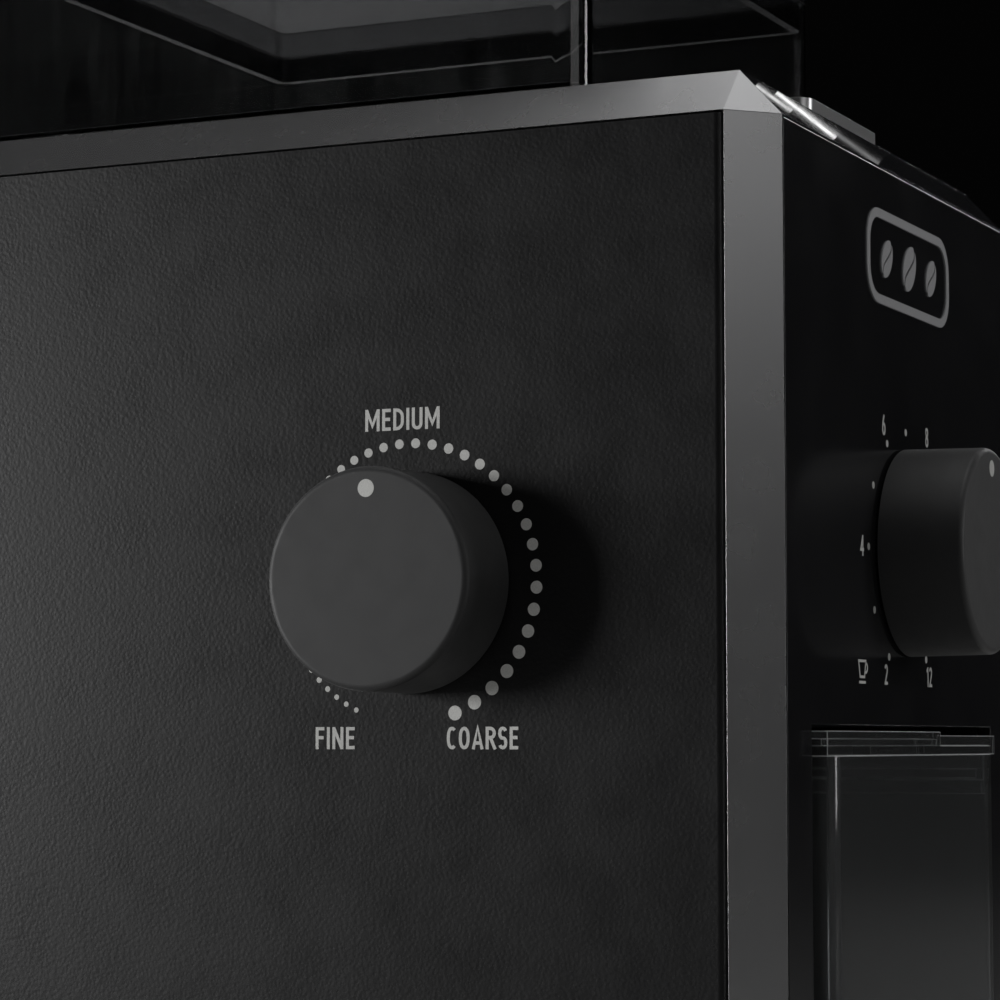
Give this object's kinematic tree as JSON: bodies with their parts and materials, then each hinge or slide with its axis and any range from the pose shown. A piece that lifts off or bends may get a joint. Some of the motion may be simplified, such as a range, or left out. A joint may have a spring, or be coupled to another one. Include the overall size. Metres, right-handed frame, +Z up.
{
  "type": "burr coffee grinder",
  "caption": "Box-shaped electric burr grinder with a clear bean hopper on top, a grind dial on the side, a cup dial and start button at the front, and a clear grounds container in a bay.",
  "frame": {"origin": "on the table, under the middle of the whole object's outline, knobs included", "axes": "+Z up, front (cup dial, container) towards -Y, grind dial side towards -X"},
  "size_m": [0.1456, 0.1756, 0.261],
  "materials": {
    "black_panel": "fine leather grain, matt",
    "black_front": "smooth satin black",
    "silver_trim": "satin silver paint",
    "dark_bevel": "high gloss black",
    "black_moulding": "matt moulded black",
    "bay_black": "matt moulded black",
    "foot_rubber": "matt rubber",
    "label_foil": "brushed foil, blank",
    "frame_grey": "glass-filled plastic",
    "circuit_board": "green solder mask",
    "standoff_nylon": "natural nylon",
    "switch_body": "moulded",
    "housing_alloy": "die-cast, as cast",
    "chute_grey": "matt",
    "bearing_steel": "ground",
    "motor_steel": "zinc plated",
    "motor_plastic": "moulded",
    "magnet": "ferrite",
    "mount_rubber": "matt rubber",
    "gasket_silicone": "silicone",
    "screw_steel": "zinc plated",
    "capacitor_film": "yellow box film capacitor",
    "knob_soft": "dark grey soft-touch",
    "shaft_nylon": "natural acetal",
    "burr_steel": "hardened steel, ground",
    "carrier_red": "moulded red-brown",
    "spring_steel": "drawn wire",
    "button_silver": "satin silver",
    "shaft_steel": "ground",
    "gear_acetal": "natural acetal",
    "copper_winding": "enamelled copper and laminated steel",
    "pinion_brass": "turned brass",
    "print_ink": "pad-printed scale marks",
    "clear_plastic": "clear transparent plastic",
    "smoked_plastic": "smoke-tinted transparent plastic"
  },
  "bodies": {
    "housing": {"base_plate": "black_moulding", "rubber_feet": "foot_rubber", "left_panel": "black_panel", "right_panel": "black_panel", "back_cover": "black_panel", "front_panel": "black_front", "corner_trim_left": "silver_trim", "corner_trim_right": "silver_trim", "top_bezel": "silver_trim", "front_bevel": "dark_bevel", "top_deck": "black_moulding", "bay_liner": "bay_black", "chassis_plate": "frame_grey", "control_board": "circuit_board", "board_standoffs": "standoff_nylon", "start_switch": "switch_body", "cup_dial_sensor": "switch_body", "grind_housing": "housing_alloy", "chamber_cap": "frame_grey", "grounds_chute": "chute_grey", "knob_shaft_bush": "frame_grey", "upper_bearing": "bearing_steel", "lower_bearing": "bearing_steel", "motor_can": "motor_steel", "motor_end_cap": "motor_plastic", "motor_magnets": "magnet", "motor_mounts": "mount_rubber", "hopper_gasket": "gasket_silicone", "cord_inlet": "foot_rubber", "rating_plate": "label_foil", "base_screws": "screw_steel", "chassis_screws": "screw_steel", "back_cover_screws": "screw_steel", "cap_screws": "screw_steel", "supply_board": "circuit_board", "suppression_capacitor": "capacitor_film", "carrier_spring": "spring_steel", "button_spring": "spring_steel"},
    "grind_knob": {"grind_knob": "knob_soft", "grind_knob_shaft": "shaft_nylon"},
    "adjusting_ring": {"adjusting_ring": "gear_acetal"},
    "upper_burr_set": {"upper_burr": "burr_steel", "upper_burr_carrier": "carrier_red"},
    "cup_knob": {"cup_knob": "knob_soft", "cup_knob_shaft": "shaft_steel"},
    "start_button": {"start_button": "button_silver"},
    "burr_rotor": {"burr_shaft": "shaft_steel", "lower_burr": "burr_steel", "burr_carrier": "housing_alloy", "burr_gear": "gear_acetal"},
    "motor_rotor": {"motor_shaft": "shaft_steel", "motor_armature": "copper_winding", "motor_pinion": "pinion_brass"},
    "container": {"container": "clear_plastic"},
    "container_lid": {"container_lid": "clear_plastic"},
    "hopper": {"hopper": "clear_plastic"},
    "hopper_lid": {"hopper_lid": "smoked_plastic"}
  },
  "joints": [
    {"name": "grind_knob_turn", "type": "hinge", "parent": "housing", "child": "grind_knob", "pos_m": [-0.06475, -0.01485, 0.1404], "axis": [1, 0, 0], "range_deg": [-157, 157]},
    {"name": "adjusting_ring_turn", "type": "hinge", "parent": "housing", "child": "adjusting_ring", "pos_m": [0.00725, -0.01485, 0.148], "axis": [0, 0, 1], "range_deg": [-20.8, 20.8]},
    {"name": "upper_burr_lift", "type": "slide", "parent": "housing", "child": "upper_burr_set", "axis": [0, 0, 1], "range_m": [-0.0005, 0.0005], "deforming": ["carrier_spring"]},
    {"name": "cup_knob_turn", "type": "hinge", "parent": "housing", "child": "cup_knob", "pos_m": [0.00725, -0.08035, 0.147], "axis": [0, 1, 0], "range_deg": [-150, 150]},
    {"name": "start_button_press", "type": "slide", "parent": "housing", "child": "start_button", "axis": [0, 0, -1], "range_m": [0, 0.002], "stiffness_N_per_m": 350, "springref_m": -0.001, "deforming": ["button_spring"]},
    {"name": "burr_spin", "type": "hinge", "parent": "housing", "child": "burr_rotor", "pos_m": [0.00725, -0.01485, 0.14], "axis": [0, 0, 1], "continuous": true},
    {"name": "motor_spin", "type": "hinge", "parent": "housing", "child": "motor_rotor", "pos_m": [0.00725, 0.01515, 0.08], "axis": [0, 0, 1], "continuous": true},
    {"name": "container_slide", "type": "slide", "parent": "housing", "child": "container", "axis": [0, -1, 0], "range_m": [0, 0.1]},
    {"name": "container_lid_slide", "type": "slide", "parent": "container", "child": "container_lid", "axis": [0, -1, 0], "range_m": [0, 0.055]},
    {"name": "hopper_lift", "type": "slide", "parent": "housing", "child": "hopper", "axis": [0, 0, 1], "range_m": [0, 0.09]},
    {"name": "hopper_lid_lift", "type": "slide", "parent": "hopper", "child": "hopper_lid", "axis": [0, 0, 1], "range_m": [0, 0.05]}
  ],
  "couplings": [
    {"joint": "grind_knob_turn", "follows": "upper_burr_lift", "rad_per_m": 5480},
    {"joint": "adjusting_ring_turn", "follows": "upper_burr_lift", "rad_per_m": 721.05},
    {"joint": "motor_spin", "follows": "burr_spin", "ratio": -4}
  ]
}
